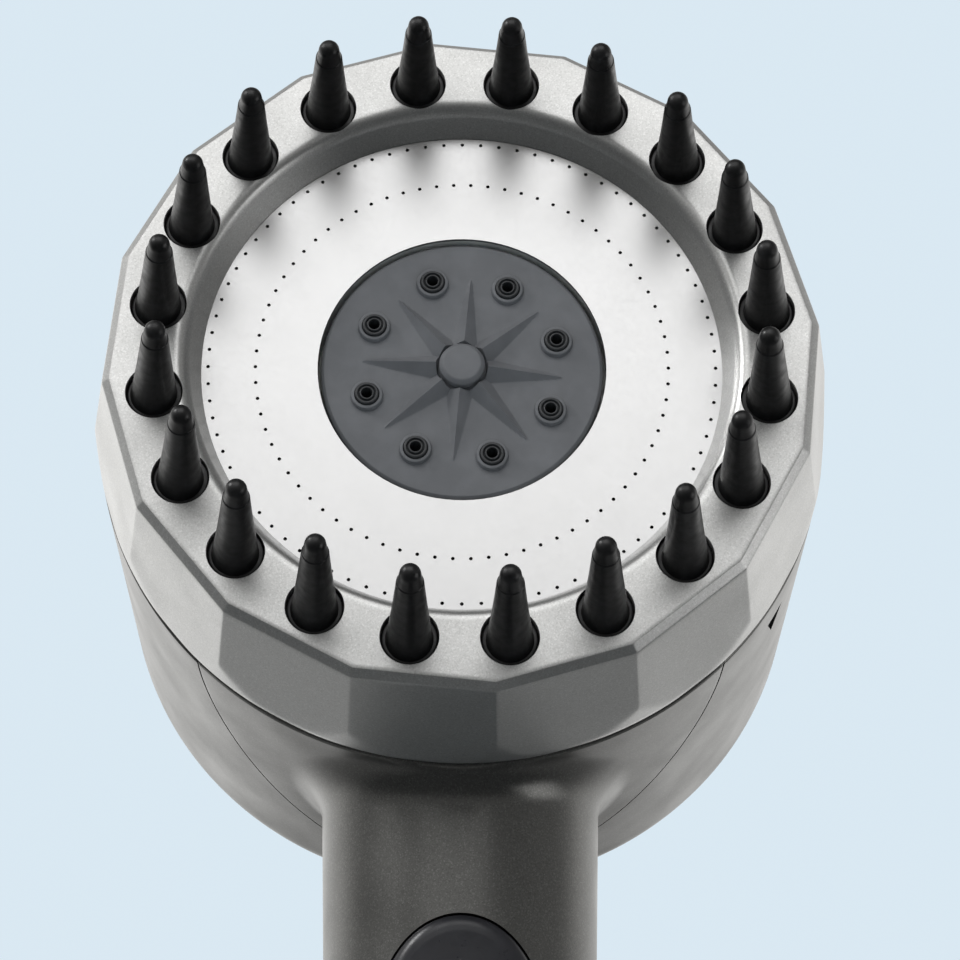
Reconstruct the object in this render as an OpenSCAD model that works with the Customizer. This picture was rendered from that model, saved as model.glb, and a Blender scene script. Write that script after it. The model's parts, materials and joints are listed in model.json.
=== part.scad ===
// Handheld shower head: a deep round barrel with a turning face dial, a ring of
// silicone massage bristles, a laser-drilled steel face plate and a water-stop
// button on the handle. Frame: origin at the centre of the hose inlet's end face,
// +Z up along the handle, the spray face looks towards -Y.

/* [Overall] */
// Height of the spray head's axis above the hose inlet
head_z = 197; // [170:1:240]
// Distance from the handle's axis forward to the steel face plate
plate_reach = 37; // [36:0.5:46]

/* [Face dial] */
// Radius of the round seam between face dial and barrel
seam_r = 47.5; // [40:0.5:60]
// Flat sides around the comb ring
ring_sides = 16; // [12:1:24]
// Turn of the flat sides from the ring's top
ring_turn = 106.5; // [90:0.5:115]
// How much smaller the flat sides are at the front than at the seam
ring_flare = 3.1; // [2:0.1:4]
// Depth of the comb ring from front to back
ring_depth = 21; // [19:0.5:26]
// Wall of the comb ring
ring_wall = 2.5; // [2:0.1:3]
// Width of the metallic band between the plate and the flat sides
face_band = 11.4; // [11:0.1:14]
// Height of the comb ring's front above the steel plate
face_inset = 4.95; // [4.5:0.05:7]
// Chamfer height along the ring's front edge
edge_h = 1; // [0.5:0.1:1.5]
// Chamfer width along the ring's front edge
edge_w = 1; // [0.5:0.05:1.5]
// Height of the sloping bevel on the inner lip
lip_bevel = 1.3; // [0.6:0.1:2]

/* [Bristles] */
// Number of silicone bristles
bristle_count = 20; // [12:1:24]
// Angle of the first bristle
bristle_turn = 8.6; // [0:0.1:18]
// Hole in the comb ring round each bristle
bristle_hole_r = 3.55; // [3.2:0.05:3.8]
// Radius of a bristle at the ring's front face
bristle_r = 2.8; // [2.2:0.1:3]
// Radius at the waist, half way up
bristle_mid_r = 2.05; // [1.8:0.05:2.4]
// Radius of the rounded tip
bristle_tip_r = 1.48; // [1.2:0.02:1.8]
// Height of a bristle above the ring's front face
bristle_h = 18.2; // [12:0.2:24]
// Lean of each bristle towards the centre
bristle_lean = 5; // [0:0.5:8]

/* [Spray plate] */
// Thickness of the steel plate
plate_t = 0.5; // [0.4:0.05:0.8]
// Holes in the outer ring
outer_holes = 84; // [40:1:100]
// Holes in the inner ring
inner_holes = 74; // [30:1:80]
// Radius of a laser-drilled hole
hole_r = 0.23; // [0.15:0.01:0.35]
// Inset of the outer hole ring from the plate's visible edge
outer_inset = 0.85; // [0.6:0.05:2]
// Place of the inner hole ring between the plate's two edges
inner_place = 0.535; // [0.4:0.005:0.6]

/* [Nozzle disc] */
// Radius of the dark centre disc
disc_r = 17.9; // [15:0.02:20]
// Shadow gap round the centre disc
disc_gap = 0.4; // [0.3:0.05:0.6]
// Number of soft nozzles
nozzle_count = 8; // [6:1:10]
// Radius of the circle that the nozzles stand on
nozzle_circle_r = 12.6; // [11:0.1:14]
// Angle of the first nozzle
nozzle_turn = 17.5; // [0:0.1:22]
// Angle of the first ray of the star
star_turn = 40; // [35:0.5:45]
// Reach of the star's rays
star_r = 12.9; // [10:0.1:14]
// Height of the star's ridges at the boss
star_h = 1.5; // [0.8:0.1:2]
// Radius of the centre cap
cap_r = 2.9; // [2.5:0.1:3.5]

/* [Barrel] */
// Depth of the barrel behind the seam
barrel_depth = 58; // [50:1:75]
// Wall of the barrel and of the handle's saddle
barrel_wall = 2.6; // [2:0.1:3.5]
// Round of the barrel's rear corner
barrel_round = 6; // [3:0.5:10]
// Open joint between comb ring and barrel
seam_gap = 0.7; // [0.5:0.05:1.2]
// Half width of the handle's saddle at the seam
saddle_half = 33.5; // [30:0.5:36]
// Length of the handle's saddle along the barrel
saddle_len = 46; // [44:0.5:48]
// Angle of the index mark round the barrel
index_turn = -30; // [-40:1:-20]
// Width of the triangular index mark
index_w = 4; // [3:0.1:6]
// Length of the triangular index mark
index_l = 6; // [4:0.1:9]

/* [Handle] */
// Radius of the handle where it meets the barrel
neck_r = 18.1; // [17:0.1:20]
// Radius of the handle at its lower end
handle_end_r = 15; // [14.6:0.1:18]
// Bore through the handle
handle_bore_r = 12.2; // [11.5:0.1:13]
// Fillet between handle and barrel
neck_round = 4.5; // [2:0.5:5.5]

/* [Hose connector] */
// Length of the hose thread
thread_len = 12; // [10:0.5:16]
// Bore of the hose connector
inlet_bore_r = 8; // [7:0.1:8.4]
// Height of the visible collar
collar_h = 6; // [4:0.5:10]
// Radius of the visible collar
collar_r = 14.4; // [13.5:0.1:16]

/* [Water-stop button] */
// Width of the oval button
button_w = 20.4; // [16:0.1:22]
// Height of the oval button
button_l = 24; // [18:0.1:28]
// Distance of the button below the head's axis
button_drop = 78; // [74:0.5:90]
// How far the button stands out of the handle
button_proud = 1.1; // [0.5:0.1:2]
// Travel of the button
button_travel = 2.6; // [2:0.1:2.8]
// Thickness of the button's cap
button_t = 3.1; // [2.8:0.1:3.4]

/* [Fits] */
// Radial clearance of a turning or sliding fit
run_gap = 0.08; // [0.05:0.01:0.1]
// Open gap between separate mouldings
part_gap = 0.3; // [0.25:0.05:0.4]
// Slack between pieces that are clamped together
clamp_gap = 0.05; // [0.02:0.01:0.1]

/* [Hidden] */
$fn = 96;

// Colours
silver = [0.74, 0.74, 0.72];
gunmetal = [0.36, 0.36, 0.35];
steel = [0.92, 0.92, 0.92];
slate = [0.27, 0.28, 0.30];
black = [0.08, 0.08, 0.09];
white = [0.9, 0.9, 0.88];
zinc = [0.65, 0.65, 0.66];

e = 0.01;             // hair's breadth that cutters run past a face
far = 200;            // longer than any piece

thread_r = 10.48;     // outside of a standard G 1/2 hose thread

// ---- Face dial stations, as heights above the steel plate's front face
ring_flat_r = seam_r - ring_flare;
ring_top = face_inset;
ring_bottom = ring_top - ring_depth;
ring_tilt = atan(ring_flare / (ring_depth - edge_h));
top_wall = 2.2;
top_under = ring_top - top_wall;
plate_show_r = ring_flat_r - face_band;
lip_foot = 0.1;
lip_slope = 1.3;      // how far the inner lip opens from the plate up to its bevel
lip_edge_r = plate_show_r + lip_slope;
lip_top_r = lip_edge_r + 1;
lip_t = 2.1;
plate_edge_r = plate_show_r + 1.2;
plate_open_r = disc_r + disc_gap;
outer_ring_r = plate_show_r - outer_inset;
inner_ring_r = plate_open_r + (plate_show_r - plate_open_r) * inner_place;

// ---- Comb
comb_in_r = plate_show_r + 3.3;
comb_out_r = ring_flat_r - ring_wall - 0.6;
bristle_circle_r = (comb_in_r + comb_out_r) / 2;
comb_t = 2.05;
comb_front = top_under - clamp_gap;
comb_back = comb_front - comb_t;
plug_top = ring_top - 1.5;
plug_gap = 0.15;

// ---- Nozzle disc, its pad and its cap
disc_front = -0.6;
disc_back = -3;
boss_top = disc_front + 0.6;
stem_r = cap_r - 0.8;
pad_back = -4;
nozzle_r = 1.5;
nozzle_top = 0.5;
cap_top = 1.5;

// ---- Carrier
gasket_t = 0.8;
seat_h = -plate_t - gasket_t;
floor_h = -5;
floor_t = 2;
floor_back = floor_h - floor_t;
rib_t = 1.5;
rib_out_r = plate_open_r + rib_t + 0.25;
chamber_r = plate_show_r - 0.2;
flange_r = comb_out_r + 0.1;
flange_t = 3;
track_in_r = plate_show_r + 2.5;
track_out_r = track_in_r + 4.3;
track_r = (track_in_r + track_out_r) / 2;
track_back = -12;
ear_t = 2;
ear_r = ring_flat_r - 1;
ear_screw_r = ear_r - 1.4;
ear_screws = 4;
ear_turn = 45;
hub_r = 7.5;

// ---- Fixed bulkhead behind the dial
barrel_front = ring_bottom - seam_gap;
barrel_back = barrel_front - barrel_depth;
barrel_in_r = seam_r - barrel_wall;
bulkhead_front = barrel_front - 2.25;
bulkhead_t = 2.5;
bulkhead_back = bulkhead_front - bulkhead_t;
bulkhead_r = barrel_in_r - part_gap;
cup_r = plate_show_r - 1.25;
cup_t = 2.25;
cup_top = floor_back - 1.5;
post_r = 5;
post_top = floor_back + 0.5;
hub_floor = post_top + 0.2;

// ---- Dial seal
skirt_t = 2.8;
skirt_r = cup_r - part_gap;
skirt_back = floor_back - 6;
face_wire_r = 0.9;
seal_h = (floor_back + skirt_back) / 2;

// ---- Diverter
port_r = 16;
port_hole_r = 2.4;
mode_step = 40;       // turn between neighbouring spray modes
mode_turns = [-90, -90 - mode_step, -90 + mode_step];
diverter_t = 2;
diverter_back = floor_back - clamp_gap - diverter_t;
diverter_out_r = skirt_r - skirt_t - 0.4;
channel_r = (rib_out_r + chamber_r) / 2;
channel_w = 3;
channel_d = 1.2;
port_pad_top = diverter_back - 4.5;
port_seal_r = 3.4;

// ---- Detent
detent_turn = 60;
detent_r = 1.5;
detent_groove = 1.5;
detent_tip = track_back + 0.9;
detent_len = 6.5;
detent_boss_r = 3.1;
detent_boss_top = track_back - 1.6;
detent_travel = 0.8;
detent_spring_len = detent_travel + 4.7;
detent_back = detent_tip - detent_len - detent_spring_len;

// ---- Screws
screw_r = 1.25;
screw_head_r = 2.6;
boss_r = 4.2;
screw_circle_r = barrel_in_r - boss_r + 0.2;
barrel_screw_turns = [90, 210, 330];
saddle_screw_turns = [-115, -65];
bulkhead_screw_turns = concat(barrel_screw_turns, saddle_screw_turns);
bulkhead_screw_len = 10;
boss_low = bulkhead_back - bulkhead_screw_len - 2;

// ---- Water path in the handle, as heights above the hose inlet
barrel_low_z = head_z - seam_r;
handle_base = thread_len + collar_h;
handle_top = barrel_low_z + 12;   // trimmed off inside the barrel
button_z = head_z - button_drop;
valve_r = handle_bore_r - 0.1;
valve_low = button_z - 19;
valve_top = button_z + 20;
shoulder_r = handle_bore_r - 2.7;
spigot_top = handle_base + 18;
spigot_r = handle_bore_r - 0.1;
riser_r = 6.5;
riser_bore_r = 3.8;
riser_wire_r = 0.6;
handle_wire_r = 0.8;
socket_r = riser_r + 0.1;
riser_low = valve_top - 8;
riser_stub_r = 5.35;
stub_bore_r = riser_stub_r + 0.15;
stub_wire_r = 0.4;
port_z = head_z - port_r;
stub_r = 8;
stub_len = 8.5;
stub_back = bulkhead_back - stub_len;
stub_front_y = -plate_reach - bulkhead_back;

// ---- Stop valve, measured along Y from the handle's axis
spool_r = 5;
spool_front = -11;
spool_back = 3;
neck_front = -5.2;
neck_back = -2.2;
spool_neck_r = 2.6;
port_clear = 0.3;
valve_end = spool_back + button_travel + 2.4;
spool_grooves = [spool_front + 3, spool_back - 2];
spool_wire_r = 0.55;
button_face_r = handle_r(button_z) + button_proud;
button_back_r = button_face_r - button_t;

// ---- Filter cartridge
filter_cap_t = 4;
filter_low = spigot_top + 2 + filter_cap_t;
filter_high = valve_low - 6 - filter_cap_t;
filter_r = handle_bore_r - 1.2;
filter_bore_r = 4;

function handle_r(z) = handle_end_r
    + (neck_r - handle_end_r) * (z - handle_base) / (barrel_low_z - handle_base);
function barrel_low(x) = head_z - sqrt(seam_r * seam_r - x * x);
function wall_in_r(h) = ring_flat_r - ring_wall + (top_under - h) * tan(ring_tilt);

// ---------------------------------------------------------------- helpers

// Places a piece drawn about the spray axis, with its height pointing out of the face
module on_head() {
    translate([0, -plate_reach, head_z]) rotate([90, 0, 0]) children();
}

// A round piece between two heights, with an optional bore
module ring(outer_r, low, high, inner_r = 0) {
    translate([0, 0, low]) difference() {
        cylinder(r = outer_r, h = high - low);
        if (inner_r > 0) translate([0, 0, -e]) cylinder(r = inner_r, h = high - low + 2 * e);
    }
}

module around(turns, radius) {
    for (a = turns) rotate([0, 0, a]) translate([radius, 0, 0]) children();
}

// O-ring that seals inside a bore, and the groove that it lies in, both about z = 0
module seal(in_bore_r, wire_r) {
    rotate_extrude() translate([in_bore_r - clamp_gap - wire_r, 0]) circle(r = wire_r, $fn = 32);
}

module seal_groove(in_bore_r, wire_r) {
    ring(in_bore_r + 1, -1.2 * wire_r, 1.2 * wire_r, in_bore_r - 2 * (clamp_gap + wire_r));
}

// Rod or bore along Y between two places
module along_y(r, y1, y2) {
    translate([0, y1, 0]) rotate([-90, 0, 0]) cylinder(r = r, h = y2 - y1);
}

function steps(n, first = 0) = [for (i = [0 : n - 1]) first + i * 360 / n];
function ellipse(a, b, n = 60) = [for (t = steps(n)) [a * cos(t), b * sin(t)]];

// Skin of quads over rows of points; rows run round the section, clockwise faces outside
function skin(rows, n, closed) = concat(
    [for (i = [0 : rows - (closed ? 1 : 2)], j = [0 : n - 1])
        let (k = (j + 1) % n, m = (i + 1) % rows) [i * n + j, i * n + k, m * n + k, m * n + j]],
    closed ? [] : [[for (j = [n - 1 : -1 : 0]) j], [for (j = [0 : n - 1]) (rows - 1) * n + j]]);

// Compression spring standing on the XY plane
module coil_spring(r, wire_r, turns, length) {
    per_turn = 14;
    sides = 6;
    rows = turns * per_turn + 1;
    rise = (length - 2 * wire_r) / (rows - 1);
    points = [for (i = [0 : rows - 1], j = [0 : sides - 1])
        let (a = i * 360 / per_turn, b = j * 360 / sides, q = r - wire_r + wire_r * cos(b))
            [q * cos(a), q * sin(a), wire_r + i * rise + wire_r * sin(b)]];
    polyhedron(points, skin(rows, sides, false), convexity = 8);
}

module screw(shank_len, head_h = 1.6) {
    difference() {
        union() {
            ring(screw_head_r, 0, head_h);
            ring(screw_r, -shank_len, e);
        }
        translate([0, 0, head_h - 0.8]) {
            cube([3.2, 0.7, 2], center = true);
            cube([0.7, 3.2, 2], center = true);
        }
    }
}

// ---------------------------------------------------------------- barrel and handle

// Outer form of the barrel, grown or shrunk by a wall
module barrel_form(inset) {
    r = seam_r - inset;
    corner = max(barrel_round - inset, 0.5);
    low = barrel_back + inset;
    rotate_extrude() {
        translate([0, low]) square([r - corner, corner]);
        translate([0, low + corner]) square([r, barrel_front - low - corner + inset]);
        intersection() {
            translate([r - corner, low + corner]) circle(r = corner);
            translate([0, low]) square([r, corner]);
        }
    }
}

module barrel_skin() {
    rim = 0.5;
    difference() {
        barrel_form(0);
        barrel_form(barrel_wall);
        ring(far, barrel_front, barrel_front + far);
        // small chamfer along the rim, which catches the light at the seam
        translate([0, 0, barrel_front - rim]) difference() {
            cylinder(r = seam_r + 1, h = rim + 1);
            translate([0, 0, -e]) cylinder(r1 = seam_r, r2 = seam_r - rim, h = rim + 2 * e);
        }
    }
}

// Outline of the saddle seen from below, extruded up to the spray axis
module saddle_prism(gap) {
    translate([0, 0, barrel_front]) rotate([90, 0, 0])
        linear_extrude(height = seam_r + 5)
            polygon(ellipse(saddle_half - gap, saddle_len - gap));
}

// Concave fillet that carries the handle into the barrel. Its two edges are sunk a little
// below the surfaces that it joins.
module neck_fillet() {
    n = 8;
    sections = 72;
    bury = 1.2;
    sink = 0.12;
    r = neck_round + sink;
    function root(a) = barrel_low(neck_r * cos(a)) - neck_round;
    function foot_r(a) = handle_r(root(a)) - sink;
    function at(q, a, z) = [q * cos(a), q * sin(a), z];
    function rise(u) = r * (1 - sqrt(1 - (1 - u) * (1 - u))) - sink;
    points = [for (s = [0 : sections - 1]) let (a = s * 360 / sections, q0 = foot_r(a), q1 = q0 + r)
        each concat(
            [for (k = [0 : n]) let (u = 1 - cos(90 * k / n), q = q0 + u * r)
                at(q, a, barrel_low(q * cos(a)) - rise(u))],
            [at(q1, a, barrel_low(q1 * cos(a)) + bury),
             at(q0 - bury, a, barrel_low((q0 - bury) * cos(a)) + bury),
             at(q0 - bury, a, barrel_low(q0 * cos(a)) - rise(0))])];
    intersection() {
        polyhedron(points, skin(sections, n + 4, true), convexity = 6);
        translate([-far, -plate_reach - barrel_front, 0]) cube([2 * far, far, far * 2]);
    }
}

module button_outline(gap) {
    polygon(ellipse(button_w / 2 + gap, button_l / 2 + gap));
}

// Oval prism through the front of the handle at the button
module button_prism(gap, depth) {
    translate([0, -depth, button_z]) rotate([90, 0, 0])
        linear_extrude(height = 30) button_outline(gap);
}

module screw_boss(turns) {
    around(turns, screw_circle_r) ring(boss_r, boss_low, bulkhead_back - clamp_gap);
}

module screw_bores(turns) {
    on_head() around(turns, screw_circle_r) ring(screw_r + clamp_gap, boss_low + 1, bulkhead_back);
}

module handle_shell() {
    color(gunmetal) difference() {
        union() {
            translate([0, 0, handle_base])
                cylinder(r1 = handle_end_r, r2 = handle_r(handle_top), h = handle_top - handle_base);
            neck_fillet();
            on_head() {
                intersection() {
                    barrel_skin();
                    saddle_prism(0);
                }
                intersection() {
                    screw_boss(saddle_screw_turns);
                    barrel_form(barrel_wall / 2);
                }
            }
        }
        // the inside of the barrel, less the two screw bosses
        on_head() difference() {
            ring(barrel_in_r, barrel_back + barrel_wall, barrel_front + e);
            around(saddle_screw_turns, screw_circle_r)
                ring(boss_r, boss_low, bulkhead_back - clamp_gap);
        }
        translate([0, 0, handle_base - e]) cylinder(r = handle_bore_r, h = valve_top + 0.1 - handle_base);
        translate([0, 0, valve_top]) cylinder(r = shoulder_r, h = far);
        button_prism(part_gap, handle_bore_r / 2);
        screw_bores(saddle_screw_turns);
    }
}

module index_prism(gap, r1) {
    low = barrel_front - 8;
    on_head() rotate([0, 0, index_turn]) translate([r1, 0, low]) rotate([90, 0, 90])
        linear_extrude(height = seam_r)
            polygon([[-index_w / 2 + gap, -gap], [0, -index_l + 2.5 * gap], [index_w / 2 - gap, -gap]]);
}

module barrel_shell() {
    color(gunmetal) difference() {
        on_head() {
            difference() {
                barrel_skin();
                saddle_prism(-clamp_gap * 2);
            }
            intersection() {
                screw_boss(barrel_screw_turns);
                barrel_form(barrel_wall / 2);
            }
        }
        screw_bores(barrel_screw_turns);
        index_prism(0, seam_r - 1.3);
    }
}

module index_mark() {
    color(black) intersection() {
        index_prism(0.1, seam_r - 1.25);
        on_head() ring(seam_r - 0.4, barrel_back, barrel_front, $fn = 720);
    }
}

// ---------------------------------------------------------------- fixed water path

// Bulkhead with the seal cup, the dial's post, the inlet port and the detent housing
module waterway() {
    hole_depth = 11;
    color(white) on_head() difference() {
        union() {
            ring(bulkhead_r, bulkhead_back, bulkhead_front);
            ring(cup_r + cup_t, bulkhead_front - e, cup_top, cup_r);
            ring(post_r, bulkhead_front - e, post_top);
            translate([0, -port_r, 0]) {
                ring(port_seal_r + 1.4, bulkhead_front - e, port_pad_top);
                ring(stub_r, stub_back, bulkhead_back + e);
            }
            around([detent_turn], track_r) ring(detent_boss_r, detent_back - 1, detent_boss_top);
        }
        translate([0, -port_r, 0]) {
            ring(stub_bore_r, stub_back - e, bulkhead_back + e);
            ring(port_hole_r, bulkhead_back, port_pad_top);
            ring(port_seal_r + clamp_gap, bulkhead_front + 0.5, port_pad_top + e);
        }
        ring(screw_r + clamp_gap, post_top - hole_depth, post_top + e);
        around([detent_turn], track_r) ring(detent_r + run_gap, detent_back, detent_boss_top + e);
        around(bulkhead_screw_turns, screw_circle_r)
            ring(screw_r + 0.25, bulkhead_back - e, bulkhead_front + e);
    }
}

module bulkhead_screws() {
    color(zinc) on_head() around(bulkhead_screw_turns, screw_circle_r)
        translate([0, 0, bulkhead_front]) screw(bulkhead_screw_len);
}

// Shouldered screw on which the dial turns
module centre_screw() {
    head_low = floor_h + 0.3;
    color(zinc) on_head() difference() {
        union() {
            ring(3, head_low, head_low + 1.5);
            ring(screw_r, post_top - 10, head_low + e);
        }
        translate([0, 0, head_low + 1.2]) {
            cube([3.6, 0.8, 1.6], center = true);
            cube([0.8, 3.6, 1.6], center = true);
        }
    }
}

// Cup seal pressed against the diverter plate
module port_seal() {
    color(black) on_head() translate([0, -port_r, 0])
        ring(port_seal_r, bulkhead_front + 0.55, diverter_back - clamp_gap, port_hole_r);
}

module detent_spring() {
    color(zinc) on_head() around([detent_turn], track_r)
        translate([0, 0, detent_back + 0.1]) coil_spring(detent_r - 0.1, 0.2, 6, detent_spring_len - 0.2);
}

// Pipe that carries water up from the stop valve and forward into the bulkhead
module riser_pipe() {
    spigot_y = stub_front_y + stub_len + 0.5;
    tip_y = stub_front_y + 1;
    color(white) difference() {
        union() {
            ring(riser_r, riser_low, port_z);
            translate([0, 0, port_z]) sphere(r = riser_r);
            translate([0, 0, port_z]) along_y(riser_r, spigot_y, 0);
            translate([0, 0, port_z]) along_y(riser_stub_r, tip_y, spigot_y + e);
        }
        ring(riser_bore_r, riser_low - e, port_z);
        translate([0, 0, port_z]) sphere(r = riser_bore_r);
        translate([0, 0, port_z]) along_y(riser_bore_r, tip_y - e, 0);
        translate([0, 0, riser_low + 3]) seal_groove(socket_r, riser_wire_r);
        translate([0, stub_front_y + 4.5, port_z]) rotate([90, 0, 0]) seal_groove(stub_bore_r, stub_wire_r);
    }
}

module riser_seals() {
    color(black) {
        translate([0, 0, riser_low + 3]) seal(socket_r, riser_wire_r);
        translate([0, stub_front_y + 4.5, port_z]) rotate([90, 0, 0]) seal(stub_bore_r, stub_wire_r);
    }
}

// ---------------------------------------------------------------- stop valve

module valve_body() {
    port_w = 7;
    port_y = neck_front + port_clear;
    port_d = neck_back - neck_front - 2 * port_clear;
    color(white) difference() {
        ring(valve_r, valve_low, valve_top);
        translate([0, 0, button_z]) along_y(spool_r + run_gap, -valve_r - 1, valve_end);
        translate([-port_w / 2, port_y, valve_low - e]) cube([port_w, port_d, riser_low - valve_low]);
        ring(8, valve_low - e, valve_low + 4);
        ring(socket_r, riser_low - 0.2, valve_top + e);
        translate([0, 0, valve_low + 7]) seal_groove(handle_bore_r, handle_wire_r);
    }
}

module valve_seals() {
    color(black) translate([0, 0, valve_low + 7]) seal(handle_bore_r, handle_wire_r);
}

module button_spring() {
    color(zinc) translate([0, spool_back + 0.05, button_z]) rotate([-90, 0, 0])
        coil_spring(spool_r - 0.5, 0.35, 5, valve_end - spool_back - 0.1);
}

// Generic water-drop relief on the button
module drop_relief() {
    r = 2.6;
    peak = 7;
    t = asin(r / peak);
    translate([0, -peak / 6, 0]) {
        circle(r = r);
        polygon([[0, peak], [-r * cos(t), r * sin(t)], [r * cos(t), r * sin(t)]]);
    }
}

module stop_button() {
    relief = 0.35;
    color(black) difference() {
        union() {
            intersection() {
                button_prism(0, 0);
                ring(button_face_r, button_z - 20, button_z + 20);
            }
            intersection() {
                translate([0, 0, button_z]) rotate([90, 0, 0]) linear_extrude(height = 30) drop_relief();
                ring(button_face_r + relief, button_z - 20, button_z + 20);
            }
        }
        ring(button_back_r, button_z - 30, button_z + 30);
    }
    color(black) translate([0, 0, button_z])
        along_y(spool_r - 1.4, -button_back_r - 0.6, spool_front + clamp_gap - 0.1);
}

module valve_spool() {
    color(white) translate([0, 0, button_z]) difference() {
        along_y(spool_r, spool_front, spool_back);
        difference() {
            along_y(spool_r + 1, neck_front, neck_back);
            along_y(spool_neck_r, neck_front - 1, neck_back + 1);
        }
        for (y = spool_grooves) translate([0, y, 0]) rotate([90, 0, 0])
            seal_groove(spool_r + run_gap, spool_wire_r);
    }
}

module spool_seals() {
    color(black) translate([0, 0, button_z]) for (y = spool_grooves)
        translate([0, y, 0]) rotate([90, 0, 0]) seal(spool_r + run_gap, spool_wire_r);
}

// ---------------------------------------------------------------- filter and inlet

// Wound polypropylene sediment core
module filter_core() {
    color(white) ring(filter_r - 0.4, filter_low + clamp_gap, filter_high - clamp_gap, filter_bore_r);
}

module filter_caps() {
    color(slate) {
        ring(filter_r, filter_low - filter_cap_t, filter_low);
        difference() {
            union() {
                ring(filter_r, filter_high, filter_high + filter_cap_t);
                ring(7.8, filter_high + filter_cap_t - e, valve_low + 3.5);
            }
            ring(filter_bore_r, filter_high - e, valve_low + 4);
        }
    }
}

// Screwed end of the handle with the hose thread
module inlet_connector() {
    flutes = 12;
    color(gunmetal) difference() {
        union() {
            ring(thread_r, 0, thread_len + e);
            ring(collar_r, thread_len, handle_base - clamp_gap);
            ring(spigot_r, handle_base - clamp_gap - e, spigot_top);
        }
        ring(inlet_bore_r, -e, thread_len + 2);
        ring(inlet_bore_r - 1.6, thread_len, spigot_top + e);
        around(steps(flutes), collar_r + 0.9) ring(1.5, thread_len - 1, handle_base - 1.2);
        translate([0, 0, spigot_top - 5]) seal_groove(handle_bore_r, handle_wire_r);
    }
}

module connector_seal() {
    color(black) translate([0, 0, spigot_top - 5]) seal(handle_bore_r, handle_wire_r);
}

module flow_regulator() {
    low = 5;
    color(white) difference() {
        ring(inlet_bore_r - clamp_gap, low, low + 6, 2.2);
        around(steps(6), 5) ring(0.9, low - 1, low + 7);
    }
}

module inlet_strainer() {
    low = 1.5;
    color(zinc) difference() {
        union() {
            ring(inlet_bore_r - clamp_gap, low, low + 3, inlet_bore_r - 1);
            ring(inlet_bore_r - 0.9, low + 1, low + 1.6);
        }
        for (x = [-5 : 2 : 5], y = [-5 : 2 : 5])
            if (x * x + y * y < 36) translate([x, y, 0]) ring(0.6, low, low + 2);
    }
}

// ---------------------------------------------------------------- turning face

module ring_envelope() {
    rotate_extrude() polygon([
        [plate_show_r, lip_foot], [lip_edge_r, ring_top - lip_bevel], [lip_top_r, ring_top],
        [seam_r, ring_top], [seam_r, ring_bottom + 0.4], [seam_r - 0.4, ring_bottom],
        [wall_in_r(ring_bottom), ring_bottom], [wall_in_r(top_under), top_under],
        [lip_edge_r + lip_t - 0.5, top_under], [plate_show_r + lip_t, lip_foot]]);
}

// Block that leaves one tilted flat: its face passes through radius r at height h
module flat_cutter(r, h, tilt) {
    translate([r, 0, h]) rotate([0, -tilt, 0]) translate([0, -15, -40]) cube([15, 30, 80]);
}

module comb_ring() {
    edge_tilt = atan(edge_w / edge_h);
    post_low = track_back + ear_t + clamp_gap;
    color(silver) on_head() {
        difference() {
            ring_envelope();
            for (a = steps(ring_sides, ring_turn)) rotate([0, 0, a]) {
                flat_cutter(ring_flat_r, ring_top - edge_h, ring_tilt);
                flat_cutter(ring_flat_r, ring_top - edge_h, edge_tilt);
            }
            around(steps(bristle_count, bristle_turn), bristle_circle_r)
                ring(bristle_hole_r, 0, ring_top + e);
        }
        // blind posts for the screws that hold the carrier
        difference() {
            intersection() {
                around(steps(ear_screws, ear_turn), ear_screw_r)
                    ring(2.1, post_low, comb_back - flange_t - 0.5);
                ring(ear_screw_r + 2, post_low, 0);
            }
            around(steps(ear_screws, ear_turn), ear_screw_r)
                ring(1, post_low - e, post_low + 5);
        }
    }
}

// One bristle, standing at its place with its foot at the ring's front face
module bristle() {
    foot = plug_top - ring_top;
    neck_h = bristle_h - 4.6;
    tip_h = bristle_h - bristle_tip_r;
    rotate_extrude() {
        polygon([[0, foot - 0.6], [bristle_r + 0.15, foot - 0.6], [bristle_r, 0],
            [bristle_mid_r, bristle_h * 0.52], [bristle_tip_r + 0.2, neck_h],
            [bristle_tip_r + 0.2, tip_h - 0.9], [bristle_tip_r, tip_h - 0.5],
            [bristle_tip_r, tip_h], [0, tip_h]]);
        intersection() {
            translate([0, tip_h]) circle(r = bristle_tip_r, $fn = 48);
            square([bristle_tip_r, bristle_h]);
        }
    }
}

module comb() {
    color(black) on_head() {
        ring(comb_out_r, comb_back, comb_front, comb_in_r);
        around(steps(bristle_count, bristle_turn), bristle_circle_r) {
            ring(bristle_hole_r - plug_gap, comb_front - e, plug_top);
            translate([0, 0, ring_top]) rotate([0, -bristle_lean, 0]) bristle();
        }
    }
}

module face_plate() {
    color(steel) on_head() translate([0, 0, -plate_t]) linear_extrude(height = plate_t) difference() {
        circle(r = plate_edge_r);
        circle(r = plate_open_r);
        for (a = steps(outer_holes)) rotate(a) translate([outer_ring_r, 0]) circle(r = hole_r, $fn = 16);
        for (a = steps(inner_holes)) rotate(a) translate([inner_ring_r, 0]) circle(r = hole_r, $fn = 16);
    }
}

module plate_gasket() {
    color(black) on_head() ring(plate_edge_r, seat_h + clamp_gap, -plate_t, chamber_r + 0.3);
}

// One roof-shaped ray of the star, pointing along +X; its foot is sunk in the disc
module star_ray() {
    root = cap_r + 0.1;
    half = 2;
    sink = 0.35;
    polyhedron([[root, -half, -sink], [root, half, -sink], [star_r + 1.6, 0, -sink], [root, 0, star_h]],
        [[2, 1, 0], [3, 2, 0], [3, 1, 2], [1, 3, 0]]);
}

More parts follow.
